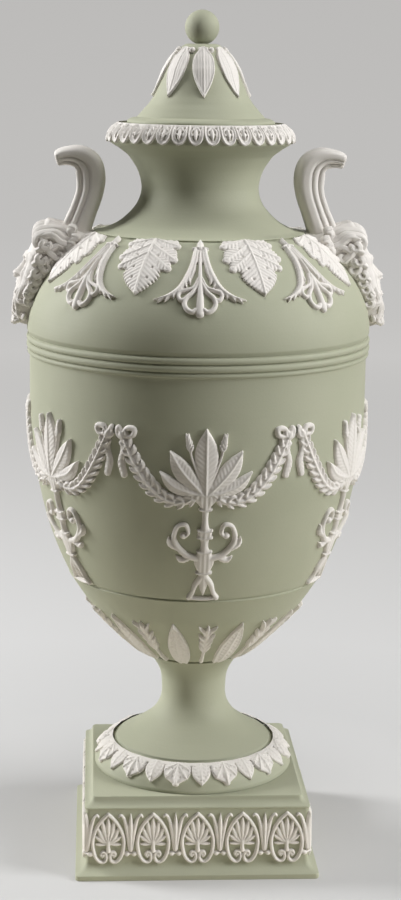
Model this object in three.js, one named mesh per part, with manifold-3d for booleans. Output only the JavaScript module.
// A covered two-handled urn in coloured stoneware with white relief ornament, on a hollow square plinth.
// Millimetres, +Z up. The origin is the centre of the plinth's underside, and the front faces -Y.
// Reliefs are laid on the turned surfaces with u running round to the right, s down the surface
// and h standing off it. An azimuth of 0 is the front, and it grows towards +X.
import * as THREE from 'three';
import { mergeVertices } from 'three/addons/utils/BufferGeometryUtils.js';
import Module from 'manifold-3d';

const wasm = await Module();
wasm.setup();

// Clearances and fineness
const SEAT_GAP = 0.3; // between pieces that rest on each other
const RELIEF_GAP = 0.35; // between a relief and the surface it is laid on
const TURN_SEGMENTS = 32;
const RIM_STEPS = 5; // of each curve's outline
const NECK_STEPS = 7;
const SHOULDER_STEPS = 6;

// Plinth, square, hollow from below
const PLINTH_HEIGHT = 29.6;
const PLINTH_WIDTH = 80; // across the upright faces
const PLINTH_BASE_WIDTH = 87.4;
const PLINTH_BASE_EDGE = 1.8; // upright edge of the flared base
const PLINTH_BASE_HEIGHT = 5.6; // whole height of the flare
const PLINTH_TOP_WIDTH = 75.2;
const PLINTH_TOP_HEIGHT = 3.8; // height of the rounded top edge
const PLINTH_CORNER_RADIUS = 3;
const PLINTH_WALL = 5;
const PLINTH_TOP_WALL = 6;

// Pedestal
const PEDESTAL_HEIGHT = 42.5;
const FOOT_RADIUS = 36.7;
const FOOT_EDGE = 0.9; // upright edge under the leaf band
const FOOT_BAND_HEIGHT = 7.64; // from the foot's edge up to the step
const FOOT_STEP_RADIUS = 29.45;
const FOOT_STEP = 0.7;
const STEM_RADIUS = 11.8; // at the narrowest
const STEM_WAIST_HEIGHT = 27.8; // of the narrowest place, above the plinth
const STEM_TOP_RADIUS = 17.3;

// Bowl, shoulder, neck and rim of the vase
const BOWL_HEIGHT = 111.3;
const BOWL_RADIUS = 60.4;
const BOWL_FOOT_RADIUS = 17.6;
const BOWL_FOOT_EDGE = 0.3; // upright edge under the bowl
const BELT_HEIGHT = 7.5;
const BELT_REEDS = 3;
const BELT_PROUD = 1.1; // how far the reeds stand out from the bowl
const BELT_GROOVE = 0.8;
const SHOULDER_PROUD = 0.9; // how far outside the bowl the shoulder springs
const SHOULDER_HEIGHT = 36.1;
const SHOULDER_TOP_RADIUS = 37.6;
const SHOULDER_SPRING = 1.5; // upright stretch above the belt
const NECK_HEIGHT = 29.5;
const NECK_RADIUS = 20.75;
const NECK_WAIST_HEIGHT = 15.3; // of the narrowest place, above the shoulder
const NECK_STEP = 0.6;
const NECK_TOP_RADIUS = 29.2;
const RIM_HEIGHT = 8.1;
const RIM_RADIUS = 32.8;
const RIM_TOP_RADIUS = 28.5;
const MOUTH_RADIUS = 20.5;
const MOUTH_DEPTH = 11.5;
const VASE_WALL = 4;
const BOWL_FLOOR = 6;

// Lid and finial
const LID_FLANGE_RADIUS = 26;
const LID_FLANGE_EDGE = 1;
const LID_LEDGE_RISE = 1.3;
const LID_HEIGHT = 27.5; // from the rim to the top of the dome
const LID_DOME_RADIUS = 22.4;
const LID_TOP_RADIUS = 5;
const LID_WALL = 3;
const LID_RING_DEPTH = 8;
const LID_RING_CLEARANCE = 0.4;
const LID_RING_WALL = 3;
const LID_DISH = 0.4; // depth of the shallow dish in the lid's top
const FINIAL_RADIUS = 6;
const FINIAL_SINK = 0.2; // how far the ball stands into the dome's shallow top
const PEG_RADIUS = 2;
const PEG_LENGTH = 3.8;
const PEG_CLEARANCE = 0.3;

// Tie bolt and its fittings
const BOLT_RADIUS = 3;
const BOLT_CLEARANCE = 0.6;
const BOLT_END = 6; // how far the bolt stands out of the nut
const NUT_CLEARANCE = 0.3;
const HEX_RADIUS = 5.8;
const BOLT_HEAD_HEIGHT = 4;
const NUT_HEIGHT = 5;
const WASHER_RADIUS = 8;
const WASHER_THICKNESS = 1.2;
const SEAL_RADIUS = 9;
const SEAL_THICKNESS = 1.5;

// Handles, in the plane of the masks
const HANDLE_WIDTH = 13; // front to back
const HANDLE_THICKNESS = 10.4; // at the foot
const HANDLE_RISE = 26.2; // its top's middle line, above the shoulder's top edge
const HANDLE_REACH = 13.4; // the curl's end, outside the shoulder's top edge
const HANDLE_STEPS = 15;

// Masks, with the hair and beard: where they sit on the shoulder and their size
const MASK_STANDOFF = 6; // of the face's plane at half its height, outside the shoulder
const MASK_TOP_HEIGHT = 4.6; // above the shoulder's top edge
const MASK_HEIGHT = 39;
const MASK_TILT = 15.6; // degrees, the top leaning towards the neck
const MASK_WIDTH = 23;
const MASK_RELIEF = 5.2; // how far the middle of the face stands out

// Reliefs
const RELIEF_RISE = 1.3; // how far a relief's ridge stands off its back
const RELIEF_EDGE = 0.5; // thickness at a broad leaf's edges
const STROKE_LEVELS = 5;
const STROKE_STEP = 0.06;
const LID_LEAF_COUNT = 8;
const LID_LEAF_LENGTH = 16.6;
const LID_LEAF_WIDTH = 7.9;
const LID_LEAF_START = 2.6; // down the dome from its top edge
const RIM_BAND_THICKNESS = 0.9;
const SHOULDER_MOTIF_ANGLE = 22.5; // degrees between a leaf and the next palmette
const SHOULDER_TURN = -2.7; // degrees, azimuth of the first palmette
const SHOULDER_LEAF_LENGTH = 23.5;
const SHOULDER_LEAF_WIDTH = 20.8;
const SHOULDER_START = 0.8; // down the shoulder from its top edge
const PALMETTE_LENGTH = 30.6;
const PALMETTE_WIDTH = 31;
const PALMETTE_STROKE = 1.8; // half width of its arms
const CALYX_COUNT = 10; // sprays under the bowl, each a leaf with a bud beside it
const CALYX_TURN = -14; // degrees, azimuth of the first leaf
const CALYX_START = 2.5; // up the bowl from its foot
const CALYX_LEAF_LENGTH = 27;
const CALYX_LEAF_WIDTH = 7.4;
const CALYX_BUD_LENGTH = 27;
const CALYX_BUD_WIDTH = 6.8;
const CALYX_STROKE = 1.3;
const FOOT_LEAF_COUNT = 12;
const FOOT_BAND_TURN = -12.7; // degrees, azimuth of the first large leaf
const FOOT_BAND_START = 0.6; // down the foot from the step
const FOOT_LEAF_LENGTH = 8.3;
const FRIEZE_BAYS = 6;
const FRIEZE_START = 16; // below the belt
const FRIEZE_HEIGHT = 62.5;
const FRIEZE_STROKE = 2;
const SWAG_DROP = 13;
const PLINTH_MOTIF_PITCH = 16;
const PLINTH_MOTIFS = 5;
const PLINTH_MOTIF_HEIGHT = 18.6;
const PLINTH_MOTIF_BOTTOM = 5.9;
const PLINTH_LEAF_WIDTH = 9.5;
const PLINTH_LILY_WIDTH = 4.6;
const PLINTH_LINE_WIDTH = 1.2; // of the ground line that the leaves stand on

// Levels, worked out upwards from the floor
const pedestalFoot = PLINTH_HEIGHT + SEAT_GAP;
const pedestalTop = pedestalFoot + PEDESTAL_HEIGHT;
const bowlFoot = pedestalTop + SEAT_GAP;
const beltFoot = bowlFoot + BOWL_HEIGHT;
const beltTop = beltFoot + BELT_HEIGHT;
const shoulderTop = beltTop + SHOULDER_HEIGHT;
const neckTop = shoulderTop + NECK_HEIGHT;
const rimTop = neckTop + RIM_HEIGHT;
const lidFoot = rimTop + SEAT_GAP;
const domeFoot = lidFoot + LID_FLANGE_EDGE + LID_LEDGE_RISE;
const domeTop = rimTop + LID_HEIGHT;
const bowlFloor = bowlFoot + BOWL_FLOOR;

// Radii that follow the bowl's
const beltRadius = BOWL_RADIUS + BELT_PROUD;
const shoulderRadius = BOWL_RADIUS + SHOULDER_PROUD;

const colouredClay = { color: 0xacae98, roughness: 0.78, metalness: 0 };
const whiteClay = { color: 0xebe8e3, roughness: 0.75, metalness: 0 };
const steel = { color: 0x8d9092, roughness: 0.4, metalness: 1 };
const leather = { color: 0x8a6244, roughness: 0.85, metalness: 0 };

const urn = new THREE.Group();
const degrees = THREE.MathUtils.degToRad;

function place(name, geometry, look) {
  const mesh = new THREE.Mesh(geometry, new THREE.MeshStandardMaterial(look));
  mesh.name = name;
  urn.add(mesh);
  return mesh;
}

function point(radius, height) {
  return new THREE.Vector2(radius, height);
}

// Points on a smooth line through a few given ones
function smooth(points, count) {
  return new THREE.SplineCurve(points).getPoints(count);
}

function signedVolume(geometry) {
  const p = geometry.attributes.position;
  const index = geometry.index;
  const corners = [new THREE.Vector3(), new THREE.Vector3(), new THREE.Vector3()];
  let volume = 0;
  for (let i = 0; i < index.count; i += 3) {
    corners.forEach((corner, k) => corner.fromBufferAttribute(p, index.getX(i + k)));
    volume += corners[0].dot(corners[1].cross(corners[2])) / 6;
  }
  return volume;
}

// Welds a closed geometry, drops collapsed triangles and turns its faces outwards
function closed(geometry) {
  const bare = geometry.clone();
  bare.deleteAttribute('normal');
  bare.deleteAttribute('uv');
  const welded = mergeVertices(bare, 1e-4);
  const kept = [];
  for (let i = 0; i < welded.index.count; i += 3) {
    const [a, b, c] = [0, 1, 2].map((k) => welded.index.getX(i + k));
    if (a !== b && b !== c && c !== a) kept.push(a, b, c);
  }
  welded.setIndex(kept);
  if (signedVolume(welded) < 0) {
    for (let i = 0; i < kept.length; i += 3) [kept[i + 1], kept[i + 2]] = [kept[i + 2], kept[i + 1]];
    welded.setIndex(kept);
  }
  welded.computeVertexNormals();
  return welded;
}

function toSolid(geometry) {
  const whole = closed(geometry);
  return new wasm.Manifold(new wasm.Mesh({
    numProp: 3,
    vertProperties: new Float32Array(whole.attributes.position.array),
    triVerts: new Uint32Array(whole.index.array),
  }));
}

function toGeometry(solid) {
  const mesh = solid.getMesh();
  const geometry = new THREE.BufferGeometry();
  geometry.setAttribute('position', new THREE.BufferAttribute(mesh.vertProperties, mesh.numProp));
  geometry.setIndex(new THREE.BufferAttribute(mesh.triVerts, 1));
  geometry.computeVertexNormals();
  return geometry;
}

function fuse(geometries) {
  return toGeometry(geometries.map(toSolid).reduce((sum, next) => sum.add(next)));
}

function cut(geometry, tools) {
  return toGeometry(tools.map(toSolid).reduce((rest, tool) => rest.subtract(tool), toSolid(geometry)));
}

// Turned on the axis from an outline of (radius, height) points
function turned(outline, segments = TURN_SEGMENTS) {
  return closed(new THREE.LatheGeometry(outline, segments).rotateX(Math.PI / 2));
}

function ring(inner, outer, foot, top, segments = 20) {
  return turned([point(inner, foot), point(outer, foot), point(outer, top), point(inner, top),
    point(inner, foot)], segments);
}

function drum(radius, foot, top, sides) {
  return new THREE.CylinderGeometry(radius, radius, top - foot, sides)
    .rotateX(Math.PI / 2)
    .translate(0, 0, (foot + top) / 2);
}

// A closed solid through rings of equally many points; its ends are flat
function loft(rings, endless = false) {
  const count = rings[0].length;
  const triangles = [];
  const spans = endless ? rings.length : rings.length - 1;
  for (let i = 0; i < spans; i++) {
    const here = i * count;
    const next = ((i + 1) % rings.length) * count;
    for (let k = 0; k < count; k++) {
      const l = (k + 1) % count;
      triangles.push(here + k, next + k, next + l, here + k, next + l, here + l);
    }
  }
  if (!endless) {
    const last = (rings.length - 1) * count;
    for (let k = 1; k < count - 1; k++) {
      triangles.push(0, k, k + 1, last, last + k + 1, last + k);
    }
  }
  const geometry = new THREE.BufferGeometry().setFromPoints(rings.flat());
  geometry.setIndex(triangles);
  return closed(geometry);
}

// A turned surface that reliefs lie on, from an outline that runs down it
class TurnedFace {
  constructor(outline) {
    this.outline = outline;
    this.lengths = [0];
    for (let i = 1; i < outline.length; i++) {
      this.lengths.push(this.lengths[i - 1] + outline[i].distanceTo(outline[i - 1]));
    }
  }

  get length() {
    return this.lengths.at(-1);
  }

  sample(s) {
    let i = this.lengths.findIndex((length) => length > s);
    if (i < 0) i = this.outline.length - 1;
    i = Math.max(i, 1);
    const [a, b] = [this.outline[i - 1], this.outline[i]];
    const share = (s - this.lengths[i - 1]) / (this.lengths[i] - this.lengths[i - 1]);
    const along = b.clone().sub(a).normalize();
    const here = a.clone().lerp(b, share);
    return { radius: here.x, height: here.y, out: point(-along.y, along.x) };
  }

  distanceAtHeight(height) {
    const i = this.outline.findIndex((p) => p.y <= height);
    const [a, b] = [this.outline[i - 1], this.outline[i]];
    return THREE.MathUtils.mapLinear(height, a.y, b.y, this.lengths[i - 1], this.lengths[i]);
  }

  at(azimuth, u, s, h) {
    const q = this.sample(s);
    const angle = azimuth + u / q.radius;
    const radius = q.radius + h * q.out.x;
    const height = q.height + h * q.out.y;
    return new THREE.Vector3(radius * Math.sin(angle), -radius * Math.cos(angle), height);
  }
}

// An upright face of the plinth; the azimuth turns it to the front, the sides or the back
class FlatFace {
  constructor(distance) {
    this.distance = distance;
  }

  at(azimuth, u, s, h) {
    return new THREE.Vector3(u, -this.distance - h, s).applyAxisAngle(new THREE.Vector3(0, 0, 1), azimuth);
  }
}

// A raised strip of relief along stations [u, s, half width, rise]; section is its shape across
function strip(face, azimuth, stations, section, lift = 0) {
  const rings = stations.map(([u, s, half, rise], i) => {
    const before = stations[Math.max(i - 1, 0)];
    const after = stations[Math.min(i + 1, stations.length - 1)];
    const along = point(after[0] - before[0], after[1] - before[1]).normalize();
    return section(rise).map(([share, h]) => face.at(
      azimuth,
      u - along.y * half * share,
      s + along.x * half * share,
      RELIEF_GAP + lift + h,
    ));
  });
  return loft(rings);
}

// Sections of a strip: a broad leaf with thick edges, and a narrow ridge with sharp ones
const broad = (rise) => [[-1, 0], [0, 0], [1, 0], [1, RELIEF_EDGE], [0, rise], [-1, RELIEF_EDGE]];
const ridge = (rise) => [[-1, 0], [1, 0], [0, rise]];

// Strokes joined into one relief; they lie at slightly different depths, so that their backs cross cleanly
function joined(face, azimuth, strokes) {
  return fuse(strokes.map((stations, i) => {
    const lift = (i % STROKE_LEVELS) * STROKE_STEP;
    return strip(face, azimuth, stations, ridge, lift);
  }));
}

// A leaf from its root in a direction (0 = down the surface), by shares [length, half width, rise]
function leafStations(root, direction, length, width, shares) {
  return shares.map(([t, w, rise]) => {
    const [u, s] = [root[0] + Math.sin(direction) * t * length, root[1] + Math.cos(direction) * t * length];
    return [u, s, (w * width) / 2, rise * RELIEF_RISE];
  });
}

const POINTED_LEAF = [[0, 0.25, 0.7], [0.25, 0.75, 1], [0.5, 1, 1.1], [0.75, 0.62, 1], [1, 0.1, 0.6]];
const DROP = [[0, 0.35, 0.7], [0.7, 1, 1.1], [1, 0.3, 0.7]];
const LOBED_LEAF = [[0, 0.72, 0.7], [0.13, 0.96, 0.9], [0.3, 1, 1], [0.4, 0.72, 1],
  [0.55, 0.7, 1.1], [0.72, 0.52, 1], [0.88, 0.28, 0.9], [1, 0.05, 0.6]];

// A motif's stroke, by shares [across its half width, along its length, half width of the stroke, rise]
function strokeStations(root, motif, shares) {
  return shares.map(([across, along, wide, rise]) => [
    root[0] + across * motif.half,
    root[1] + along * motif.length,
    wide * motif.stroke,
    rise * RELIEF_RISE,
  ]);
}

function mirrored(shares) {
  return shares.map(([across, ...rest]) => [-across, ...rest]);
}

// Outlines of the turned pieces; the shoulder is a part of an ellipse, upright where it springs
function shoulderEllipse() {
  const spring = beltTop + SHOULDER_SPRING;
  const topShare = Math.sqrt(1 - (SHOULDER_TOP_RADIUS / shoulderRadius) ** 2);
  return { spring, rise: (shoulderTop - spring) / topShare, last: Math.asin(topShare) };
}

function shoulderOutline(steps) {
  const { spring, rise, last } = shoulderEllipse();
  return Array.from({ length: steps + 1 }, (_, i) => {
    const angle = last * (1 - i / steps);
    return point(shoulderRadius * Math.cos(angle), spring + rise * Math.sin(angle));
  });
}

// From the belt down to the foot, as shares of the bowl's radius and height
function bowlOutline(steps) {
  const through = [[1, 1], [0.997, 0.785], [0.951, 0.586], [0.864, 0.407], [0.768, 0.28],
    [0.622, 0.165], [0.47, 0.08], [0.36, 0.024]];
  const foot = point(BOWL_FOOT_RADIUS, bowlFoot + BOWL_FOOT_EDGE);
  const points = through.map(([r, z]) => point(BOWL_RADIUS * r, bowlFoot + BOWL_HEIGHT * z));
  return smooth([...points, foot], steps);
}

function beltOutline() {
  const reed = BELT_HEIGHT / BELT_REEDS;
  const groove = point(beltRadius - BELT_GROOVE, beltTop);
  const points = [groove];
  for (let i = 0; i < BELT_REEDS; i++) {
    points.push(point(beltRadius, beltTop - reed * (i + 0.5)));
    points.push(point(beltRadius - BELT_GROOVE, beltTop - reed * (i + 1)));
  }
  return points;
}

function neckOutline(steps) {
  const waist = shoulderTop + NECK_WAIST_HEIGHT;
  const spread = NECK_TOP_RADIUS - NECK_RADIUS;
  const base = SHOULDER_TOP_RADIUS - NECK_STEP;
  const sweep = base - NECK_RADIUS;
  return smooth([
    point(NECK_TOP_RADIUS, neckTop),
    point(NECK_RADIUS + spread * 0.57, neckTop - (neckTop - waist) * 0.2),
    point(NECK_RADIUS + spread * 0.2, neckTop - (neckTop - waist) * 0.5),
    point(NECK_RADIUS, waist),
    point(NECK_RADIUS + sweep * 0.11, waist - (waist - shoulderTop) * 0.38),
    point(NECK_RADIUS + sweep * 0.44, waist - (waist - shoulderTop) * 0.76),
    point(base, shoulderTop + NECK_STEP / 2),
  ], steps);
}

function rimOutline(steps) {
  return smooth([
    point(RIM_TOP_RADIUS, rimTop),
    point(RIM_RADIUS - (RIM_RADIUS - RIM_TOP_RADIUS) * 0.2, rimTop - RIM_HEIGHT * 0.33),
    point(RIM_RADIUS, rimTop - RIM_HEIGHT * 0.62),
    point(RIM_RADIUS - (RIM_RADIUS - NECK_TOP_RADIUS) * 0.45, rimTop - RIM_HEIGHT * 0.87),
    point(NECK_TOP_RADIUS, neckTop),
  ], steps);
}

// The lid's dome, from its top edge down to the ledge
function domeOutline(steps) {
  const height = domeTop - domeFoot;
  const width = LID_DOME_RADIUS - LID_TOP_RADIUS;
  const shares = [[0, 1], [0.17, 0.92], [0.36, 0.76], [0.5, 0.58], [0.59, 0.41], [0.68, 0.27],
    [0.8, 0.14], [1, 0]];
  return smooth(shares.map(([r, z]) => point(LID_TOP_RADIUS + width * r, domeFoot + height * z)), steps);
}

function footOutline(steps) {
  const top = pedestalFoot + FOOT_EDGE + FOOT_BAND_HEIGHT;
  const middle = point(
    FOOT_STEP_RADIUS + (FOOT_RADIUS - FOOT_STEP_RADIUS) * 0.62,
    top - FOOT_BAND_HEIGHT * 0.39,
  );
  return smooth([point(FOOT_STEP_RADIUS, top), middle, point(FOOT_RADIUS, pedestalFoot + FOOT_EDGE)], steps);
}

// An outline moved sideways, to its left seen along its run
function offset(outline, distance) {
  return outline.map((p, i) => {
    const before = outline[Math.max(i - 1, 0)];
    const after = outline[Math.min(i + 1, outline.length - 1)];
    const along = after.clone().sub(before).normalize();
    return point(p.x - along.y * distance, p.y + along.x * distance);
  });
}

function addPlinth() {
  const corner = (half, height) => {
    const points = [];
    for (let quarter = 0; quarter < 4; quarter++) {
      for (let i = 0; i < 3; i++) {
        const angle = (quarter + i / 2) * (Math.PI / 2);
        const middle = half - PLINTH_CORNER_RADIUS;
        const [sideX, sideY] = [[1, 1], [-1, 1], [-1, -1], [1, -1]][quarter];
        points.push(new THREE.Vector3(
          sideX * middle + PLINTH_CORNER_RADIUS * Math.cos(angle),
          sideY * middle + PLINTH_CORNER_RADIUS * Math.sin(angle),
          height,
        ));
      }
    }
    return points;
  };
  const [base, die, top] = [PLINTH_BASE_WIDTH / 2, PLINTH_WIDTH / 2, PLINTH_TOP_WIDTH / 2];
  const flare = base - die;
  const slope = PLINTH_BASE_HEIGHT - PLINTH_BASE_EDGE;
  const block = loft([
    corner(base, 0),
    corner(base, PLINTH_BASE_EDGE),
    corner(base - flare * 0.72, PLINTH_BASE_EDGE + slope * 0.42),
    corner(die, PLINTH_BASE_HEIGHT),
    corner(die, PLINTH_HEIGHT - PLINTH_TOP_HEIGHT),
    corner(die - (die - top) * 0.3, PLINTH_HEIGHT - PLINTH_TOP_HEIGHT * 0.4),
    corner(top, PLINTH_HEIGHT),
  ]);
  const room = PLINTH_WIDTH - 2 * PLINTH_WALL;
  const roof = PLINTH_HEIGHT - PLINTH_TOP_WALL;
  const below = 1;
  const hollow = new THREE.BoxGeometry(room, room, roof + below).translate(0, 0, (roof - below) / 2);
  const bore = drum(BOLT_RADIUS + BOLT_CLEARANCE, roof - below, PLINTH_HEIGHT + below, 12);
  place('plinth', cut(block, [hollow, bore]), colouredClay);
}

function addPedestal() {
  const bore = BOLT_RADIUS + BOLT_CLEARANCE;
  const step = pedestalFoot + FOOT_EDGE + FOOT_BAND_HEIGHT;
  const waist = pedestalFoot + STEM_WAIST_HEIGHT;
  const sweep = FOOT_STEP_RADIUS - FOOT_STEP - STEM_RADIUS;
  const flare = STEM_TOP_RADIUS - STEM_RADIUS;
  const stem = smooth([
    point(STEM_TOP_RADIUS, pedestalTop),
    point(STEM_RADIUS + flare * 0.3, waist + (pedestalTop - waist) * 0.6),
    point(STEM_RADIUS, waist),
    point(STEM_RADIUS + sweep * 0.16, waist - (waist - step) * 0.43),
    point(STEM_RADIUS + sweep * 0.57, waist - (waist - step) * 0.77),
    point(FOOT_STEP_RADIUS - FOOT_STEP, step + FOOT_STEP),
  ], 8);
  const outline = [
    point(bore, pedestalTop),
    ...stem,
    ...footOutline(3),
    point(FOOT_RADIUS, pedestalFoot),
    point(bore, pedestalFoot),
    point(bore, pedestalTop),
  ];
  place('pedestal', turned(outline), colouredClay);
}

function addVase() {
  const bore = BOLT_RADIUS + BOLT_CLEARANCE;
  const inward = -VASE_WALL;
  const inNeck = (p) => p.y < rimTop - MOUTH_DEPTH && p.x < MOUTH_RADIUS;
  const neckInside = offset(neckOutline(6), inward).filter(inNeck);
  const shoulderInside = offset(shoulderOutline(4), inward);
  const bowlInside = offset(bowlOutline(7), inward).filter((p) => p.y > bowlFloor + VASE_WALL);
  const outline = [
    point(MOUTH_RADIUS, rimTop),
    ...rimOutline(RIM_STEPS),
    ...neckOutline(NECK_STEPS).slice(1),
    ...shoulderOutline(SHOULDER_STEPS),
    ...beltOutline(),
    ...bowlOutline(9),
    point(BOWL_FOOT_RADIUS, bowlFoot),
    point(bore, bowlFoot),
    point(bore, bowlFloor),
    point(BOWL_FOOT_RADIUS, bowlFloor),
    ...bowlInside.reverse(),
    ...shoulderInside.reverse(),
    ...neckInside.reverse(),
    point(MOUTH_RADIUS, rimTop - MOUTH_DEPTH),
    point(MOUTH_RADIUS, rimTop),
  ];
  place('vase_body', turned(outline), colouredClay);
}

function addLid() {
  const ringOutside = MOUTH_RADIUS - LID_RING_CLEARANCE;
  const ringInside = ringOutside - LID_RING_WALL;
  const pegHole = PEG_RADIUS + PEG_CLEARANCE;
  const dish = domeTop - LID_DISH;
  const inside = offset(domeOutline(5), -LID_WALL).filter((p) => p.x < ringInside && p.x > pegHole + 1);
  const outline = [
    point(pegHole, dish),
    ...domeOutline(9),
    point(LID_FLANGE_RADIUS, lidFoot + LID_FLANGE_EDGE),
    point(LID_FLANGE_RADIUS, lidFoot),
    point(ringOutside, lidFoot),
    point(ringOutside, lidFoot - LID_RING_DEPTH),
    point(ringInside, lidFoot - LID_RING_DEPTH),
    point(ringInside, lidFoot),
    ...inside.reverse(),
    point(pegHole, dish - LID_WALL),
    point(pegHole, dish),
  ];
  place('lid_shell', turned(outline), colouredClay);

  const centre = domeTop - FINIAL_SINK + FINIAL_RADIUS;
  const touch = Math.asin(PEG_RADIUS / FINIAL_RADIUS);
  const ball = Array.from({ length: 9 }, (_, i) => {
    const angle = touch + ((Math.PI - touch) * i) / 8;
    return point(FINIAL_RADIUS * Math.sin(angle), centre - FINIAL_RADIUS * Math.cos(angle));
  });
  ball[ball.length - 1].x = 0;
  const peg = centre - FINIAL_RADIUS - PEG_LENGTH;
  place('lid_finial', turned([point(0, peg), point(PEG_RADIUS, peg), ...ball], 16), colouredClay);
}

function addTieBolt() {
  const roof = PLINTH_HEIGHT - PLINTH_TOP_WALL;
  const bore = BOLT_RADIUS + BOLT_CLEARANCE;
  const seal = bowlFloor + SEAT_GAP;
  const washer = seal + SEAL_THICKNESS + SEAT_GAP;
  const head = washer + WASHER_THICKNESS + SEAT_GAP;
  const lowWasher = roof - SEAT_GAP - WASHER_THICKNESS;
  const nut = lowWasher - SEAT_GAP - NUT_HEIGHT;
  const shank = drum(BOLT_RADIUS, nut - BOLT_END, head + BOLT_HEAD_HEIGHT / 2, 12);
  place('bowl_seal', ring(bore, SEAL_RADIUS, seal, seal + SEAL_THICKNESS), leather);
  place('bowl_washer', ring(bore, WASHER_RADIUS, washer, washer + WASHER_THICKNESS), steel);
  place('tie_bolt', fuse([drum(HEX_RADIUS, head, head + BOLT_HEAD_HEIGHT, 6), shank]), steel);
  place('plinth_washer', ring(bore, WASHER_RADIUS, lowWasher, lowWasher + WASHER_THICKNESS), steel);
  const nutBlock = drum(HEX_RADIUS, nut, nut + NUT_HEIGHT, 6);
  const nutBore = drum(BOLT_RADIUS + NUT_CLEARANCE, nut - 1, nut + NUT_HEIGHT + 1, 12);
  place('tie_nut', cut(nutBlock, [nutBore]), steel);
}

// The space that the shoulder and neck take, with a relief's gap round them
function shoulderKeepOut() {
  const core = BOLT_RADIUS;
  const surface = offset([
    ...neckOutline(NECK_STEPS),
    ...shoulderOutline(SHOULDER_STEPS),
    point(beltRadius, beltTop),
    point(beltRadius, bowlFoot),
  ], RELIEF_GAP);
  const [top, bottom] = [surface[0].y, surface.at(-1).y];
  const outline = [point(core, top), ...surface, point(core, bottom), point(core, top)];
  return turned(outline);
}

// A handle's section as [share of half thickness, share of half width]: fluted outside, round inside
const HANDLE_SECTION = [[0.72, -1], [1, -0.62], [0.84, -0.31], [1, 0], [0.84, 0.31], [1, 0.62],
  [0.72, 1], [-0.5, 1], [-1, 0.5], [-1, -0.5], [-0.5, -1]];

// A handle's middle line from the shoulder's top edge, as shares of its reach and rise, and its thickness
const HANDLE_ROUTE = [[0.642, -0.344, 1], [0.455, 0.015, 0.98], [0.269, 0.271, 0.904], [0.112, 0.511, 0.923],
  [0.075, 0.721, 0.99], [0.157, 0.893, 0.942], [0.403, 0.989, 0.769], [0.724, 1, 0.596], [1, 0.962, 0.519]];

function handle(side, growth) {
  const route = new THREE.CatmullRomCurve3(HANDLE_ROUTE.map(([out, up, thick]) => new THREE.Vector3(
    SHOULDER_TOP_RADIUS + out * HANDLE_REACH,
    thick * HANDLE_THICKNESS,
    shoulderTop + up * HANDLE_RISE,
  )));
  const rings = [];
  for (let i = 0; i <= HANDLE_STEPS; i++) {
    const t = i / HANDLE_STEPS;
    const here = route.getPoint(t);
    const along = route.getTangent(t).setY(0).normalize();
    const outward = new THREE.Vector3(along.z, 0, -along.x);
    const half = here.y / 2 + growth;
    const wide = HANDLE_WIDTH / 2 + growth;
    rings.push(HANDLE_SECTION.map(([p, q]) => new THREE.Vector3(
      side * (here.x + outward.x * half * p),
      wide * q,
      here.z + outward.z * half * p,
    )));
  }
  return loft(rings);
}

// A mask's sections down its tilted plane, as shares: of its height from the top, of its half width, and
// of its relief, at its sides, its cheeks and its middle line
const MASK_SECTIONS = [
  [0, 0.45, -0.58, -0.38, -0.29],
  [0.064, 0.8, -0.38, 0.1, 0.29],
  [0.167, 1, -0.38, 0.38, 0.58],
  [0.269, 1, -0.38, 0.19, 0.35],
  [0.372, 0.98, -0.48, 0.12, 0.5],
  [0.436, 0.96, -0.58, -0.12, 0.42],
  [0.577, 0.92, -0.58, 0.08, 1],
  [0.628, 0.9, -0.58, 0.19, 0.46],
  [0.705, 0.86, -0.48, 0.38, 0.58],
  [0.808, 0.8, -0.38, 0.58, 0.77],
  [0.91, 0.6, -0.38, 0.46, 0.65],
  [1, 0.3, -0.48, 0, 0.15],
];

// The top of a mask's plane, which stands off the shoulder at half the mask's height
function maskTop(down) {
  const { spring, rise } = shoulderEllipse();
  const height = shoulderTop + MASK_TOP_HEIGHT;
  const middle = height + down.z * (MASK_HEIGHT / 2);
  const shoulder = shoulderRadius * Math.sqrt(1 - ((middle - spring) / rise) ** 2);
  return new THREE.Vector3(shoulder + MASK_STANDOFF - down.x * (MASK_HEIGHT / 2), 0, height);
}

// A mask before its back is fitted to the shoulder, grown all round by a clearance
function maskBlock(side, growth) {
  const tilt = degrees(MASK_TILT);
  const down = new THREE.Vector3(Math.sin(tilt), 0, -Math.cos(tilt));
  const out = new THREE.Vector3(Math.cos(tilt), 0, Math.sin(tilt));
  const top = maskTop(down);
  const back = -SHOULDER_TOP_RADIUS; // well inside the shoulder
  const rings = MASK_SECTIONS.map(([share, width, edge, middle, ridge]) => {
    const half = (MASK_WIDTH / 2) * width + growth;
    const nearRidge = (middle + ridge) / 2;
    const front = [[-1, edge], [-0.55, middle], [-0.18, nearRidge], [0, ridge], [0.18, nearRidge],
      [0.55, middle], [1, edge]].map(([v, depth]) => [v, depth * MASK_RELIEF + growth]);
    return [[-1, back], ...front, [1, back]].map(([v, depth]) => {
      const spot = top.clone().addScaledVector(down, share * MASK_HEIGHT).addScaledVector(out, depth);
      return new THREE.Vector3(side * spot.x, half * v, spot.z);
    });
  });
  return loft(rings);
}

function addHandlesAndMasks() {
  for (const [name, side] of [['left', -1], ['right', 1]]) {
    place(`handle_${name}`, cut(handle(side, 0), [shoulderKeepOut()]), whiteClay);
    const fitted = cut(maskBlock(side, 0), [shoulderKeepOut(), handle(side, SEAT_GAP)]);
    place(`mask_${name}`, fitted, whiteClay);
  }
}

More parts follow.
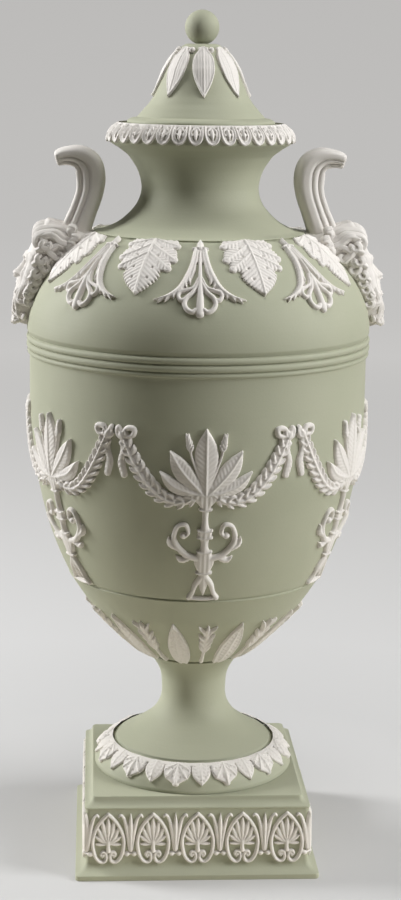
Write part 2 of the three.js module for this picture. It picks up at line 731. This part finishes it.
function addLidReliefs() {
  const dome = new TurnedFace(domeOutline(60));
  for (let i = 0; i < LID_LEAF_COUNT; i++) {
    const azimuth = (i * 2 * Math.PI) / LID_LEAF_COUNT;
    const stations = leafStations([0, LID_LEAF_START], 0, LID_LEAF_LENGTH, LID_LEAF_WIDTH, POINTED_LEAF);
    place(`lid_leaf_${i + 1}`, strip(dome, azimuth, stations, broad), whiteClay);
  }
}

// The rim's band: over the upper half of the rim, from its top edge past its widest place
function addRimBand() {
  const covered = rimOutline(RIM_STEPS).filter((p) => p.y > rimTop - RIM_HEIGHT * 0.75);
  const under = offset(covered, RELIEF_GAP);
  const over = offset(covered, RELIEF_GAP + RIM_BAND_THICKNESS);
  place('rim_band', turned([...under, ...over.reverse(), under[0]]), whiteClay);
}

const PALMETTE_STEM = [[0, 0, 0.5, 0.7], [0, 0.14, 1.05, 0.92], [0, 0.42, 0.72, 1], [0, 0.8, 0.83, 1.15],
  [0, 0.93, 1.1, 1.15], [0, 1, 0.4, 0.62]];
const PALMETTE_ARM = [[0.04, 0.12, 0.7, 0.85], [0.24, 0.3, 0.85, 0.92], [0.47, 0.51, 0.95, 0.92],
  [0.72, 0.67, 0.94, 0.85], [1, 0.75, 0.28, 0.54]];
const PALMETTE_LOOP = [[0.04, 0.47, 0.6, 0.85], [0.25, 0.64, 0.85, 0.92], [0.34, 0.77, 0.95, 1],
  [0.19, 0.87, 0.9, 0.92], [0.04, 0.865, 0.55, 0.77]];

function addShoulderReliefs() {
  const shoulder = new TurnedFace(shoulderOutline(80));
  const root = [0, SHOULDER_START];
  const leaf = leafStations(root, 0, SHOULDER_LEAF_LENGTH, SHOULDER_LEAF_WIDTH, LOBED_LEAF);
  const motif = { half: PALMETTE_WIDTH / 2, length: PALMETTE_LENGTH, stroke: PALMETTE_STROKE };
  const halves = [mirrored(PALMETTE_ARM), PALMETTE_ARM, mirrored(PALMETTE_LOOP), PALMETTE_LOOP];
  const strokes = [PALMETTE_STEM, ...halves]
    .map((shares) => strokeStations(root, motif, shares));
  let leafNumber = 0;
  let palmetteNumber = 0;
  const places = Math.round(360 / SHOULDER_MOTIF_ANGLE);
  for (let i = 0; i < places; i++) {
    const azimuth = degrees(SHOULDER_TURN + i * SHOULDER_MOTIF_ANGLE);
    if (i % 2) {
      leafNumber += 1;
      const side = Math.sign(Math.sin(azimuth));
      const besideMask = Math.abs(Math.cos(azimuth)) < Math.sin(degrees(2 * SHOULDER_MOTIF_ANGLE));
      const whole = strip(shoulder, azimuth, leaf, broad);
      const trimmed = besideMask ? cut(whole, [maskBlock(side, SEAT_GAP), handle(side, SEAT_GAP)]) : whole;
      place(`shoulder_leaf_${leafNumber}`, trimmed, whiteClay);
    } else if (i * 4 !== places && i * 4 !== places * 3) {
      palmetteNumber += 1;
      place(`shoulder_palmette_${palmetteNumber}`, joined(shoulder, azimuth, strokes), whiteClay);
    }
  }
}

const BUD_STEM = [[0, 0, 0.63, 0.7], [0, 0.5, 0.5, 0.77], [0, 0.62, 0.88, 0.85], [0, 0.85, 1, 1],
  [0, 1, 0.25, 0.54]];
const BUD_PETAL = [[0.11, 0.55, 0.33, 0.7], [0.73, 0.765, 0.94, 1.1], [1, 0.857, 0.28, 0.7]];

function addCalyx() {
  const bowl = new TurnedFace(bowlOutline(120));
  const root = [0, bowl.length - CALYX_START];
  const leaf = leafStations(root, Math.PI, CALYX_LEAF_LENGTH, CALYX_LEAF_WIDTH, POINTED_LEAF);
  const motif = { half: CALYX_BUD_WIDTH / 2, length: -CALYX_BUD_LENGTH, stroke: CALYX_STROKE };
  const bud = [BUD_STEM, mirrored(BUD_PETAL), BUD_PETAL]
    .map((shares) => strokeStations(root, motif, shares));
  const step = Math.PI / CALYX_COUNT; // from a leaf to its bud
  const rootRise = RELIEF_RISE * 0.6;
  const rootHalf = CALYX_STROKE / 2;
  const roots = [0, 1].map((share) => (
    [share * step * bowl.sample(root[1]).radius, root[1] - rootHalf, rootHalf, rootRise]
  ));
  for (let i = 0; i < CALYX_COUNT; i++) {
    const azimuth = degrees(CALYX_TURN) + 2 * i * step;
    const beside = bud.map((stations, k) => (
      strip(bowl, azimuth + step, stations, ridge, (k + 2) * STROKE_STEP)
    ));
    const spray = fuse([
      strip(bowl, azimuth, leaf, broad),
      strip(bowl, azimuth, roots, ridge, STROKE_STEP),
      ...beside,
    ]);
    place(`bowl_spray_${i + 1}`, spray, whiteClay);
  }
}

// The foot's leaf band is one ring whose lower edge runs in large and small points
function addFootBand() {
  const foot = new TurnedFace(footOutline(40));
  const reach = [1, 0.6, 0.94, 0.6]; // a large leaf's point, a notch, a small leaf's point and a notch
  const steps = reach.length;
  const rings = [];
  for (let i = 0; i < FOOT_LEAF_COUNT * steps; i++) {
    const azimuth = degrees(FOOT_BAND_TURN) + (i * 2 * Math.PI) / (FOOT_LEAF_COUNT * steps);
    const low = FOOT_BAND_START + FOOT_LEAF_LENGTH * reach[i % steps];
    const middle = (FOOT_BAND_START + low) / 2;
    const spot = (s, h) => foot.at(azimuth, 0, s, RELIEF_GAP + h);
    rings.push([spot(FOOT_BAND_START, 0), spot(middle, 0), spot(low, 0), spot(middle, RELIEF_RISE * 0.8),
      spot(FOOT_BAND_START, RELIEF_EDGE)]);
  }
  place('foot_leaf_band', loft(rings, true), whiteClay);
}

// Each bay of the frieze: a scrolled plant stand with a fan of leaves, and half a laurel swag to either side
const STAND = [[0, 1, 2.3, 0.7], [0, 0.92, 0.8, 1], [0, 0.75, 1.3, 1.15], [0, 0.58, 0.65, 1],
  [0, 0.36, 1.1, 1.08]];
const STAND_SCROLL = [[0.03, 0.73, 0.6, 0.85], [0.21, 0.7, 0.75, 1], [0.34, 0.62, 0.75, 1],
  [0.29, 0.53, 0.65, 0.92], [0.18, 0.56, 0.55, 0.77]];
const FAN_MIDDLE = [[0, 0.36, 0.6, 0.7], [0, 0.11, 1.75, 1.1], [0, 0, 0.52, 0.7]];
const FAN_SIDE = [[0, 0.36, 0.6, 0.7], [0.28, 0.2, 1.75, 1.1], [0.4, 0.13, 0.52, 0.7]];
const KNOT = [[0.98, 0, 0.4, 0.7], [0.915, 0.047, 1.05, 1.15], [0.923, 0.124, 0.7, 0.85],
  [0.95, 0.264, 0.45, 0.7]];

function addFrieze() {
  const bowl = new TurnedFace(bowlOutline(120));
  const top = bowl.distanceAtHeight(beltFoot - FRIEZE_START);
  const foot = bowl.distanceAtHeight(beltFoot - FRIEZE_START - FRIEZE_HEIGHT);
  const halfBay = (Math.PI * bowl.sample(top).radius) / FRIEZE_BAYS - RELIEF_GAP;
  const motif = { half: halfBay, length: foot - top, stroke: FRIEZE_STROKE };
  const sag = SWAG_DROP / motif.length;
  const swag = Array.from({ length: 5 }, (_, i) => {
    const t = i / 4;
    const [across, along] = [0.935 * t, 0.33 - 0.283 * t + 4 * t * (1 - t) * sag];
    return [across, along, 0.95 + 0.55 * Math.sin(Math.PI * t), 1.08];
  });
  const strokes = [
    STAND, mirrored(FAN_SIDE), FAN_MIDDLE, FAN_SIDE, mirrored(STAND_SCROLL), STAND_SCROLL,
    mirrored(swag), swag, mirrored(KNOT), KNOT,
  ].map((shares) => strokeStations([0, top], motif, shares));
  for (let i = 0; i < FRIEZE_BAYS; i++) {
    const azimuth = (i * 2 * Math.PI) / FRIEZE_BAYS;
    place(`frieze_bay_${i + 1}`, joined(bowl, azimuth, strokes), whiteClay);
  }
}

// Each plinth face: a row of upright leaves with lilies between them on a thin ground line
function addPlinthFriezes() {
  const face = new FlatFace(PLINTH_WIDTH / 2);
  const foot = PLINTH_MOTIF_BOTTOM;
  const half = (PLINTH_MOTIF_PITCH * PLINTH_MOTIFS) / 2 - PLINTH_CORNER_RADIUS;
  const line = PLINTH_LINE_WIDTH / 2;
  const ground = (u) => [u, foot + line, line, RELIEF_RISE * 0.6];
  const strokes = [[ground(-half), ground(half)]];
  for (let i = 0; i < PLINTH_MOTIFS; i++) {
    const u = (i - (PLINTH_MOTIFS - 1) / 2) * PLINTH_MOTIF_PITCH;
    strokes.push(leafStations([u, foot + line], 0, PLINTH_MOTIF_HEIGHT, PLINTH_LEAF_WIDTH, POINTED_LEAF));
    if (i > 0) {
      const root = [u - PLINTH_MOTIF_PITCH / 2, foot + line];
      strokes.push(leafStations(root, 0, PLINTH_MOTIF_HEIGHT * 0.86, PLINTH_LILY_WIDTH, DROP));
    }
  }
  ['front', 'right', 'back', 'left'].forEach((name, i) => {
    place(`plinth_frieze_${name}`, joined(face, (i * Math.PI) / 2, strokes), whiteClay);
  });
}

addPlinth();
addPedestal();
addVase();
addLid();
addTieBolt();
addHandlesAndMasks();
addLidReliefs();
addRimBand();
addShoulderReliefs();
addCalyx();
addFootBand();
addFrieze();
addPlinthFriezes();

export default urn;
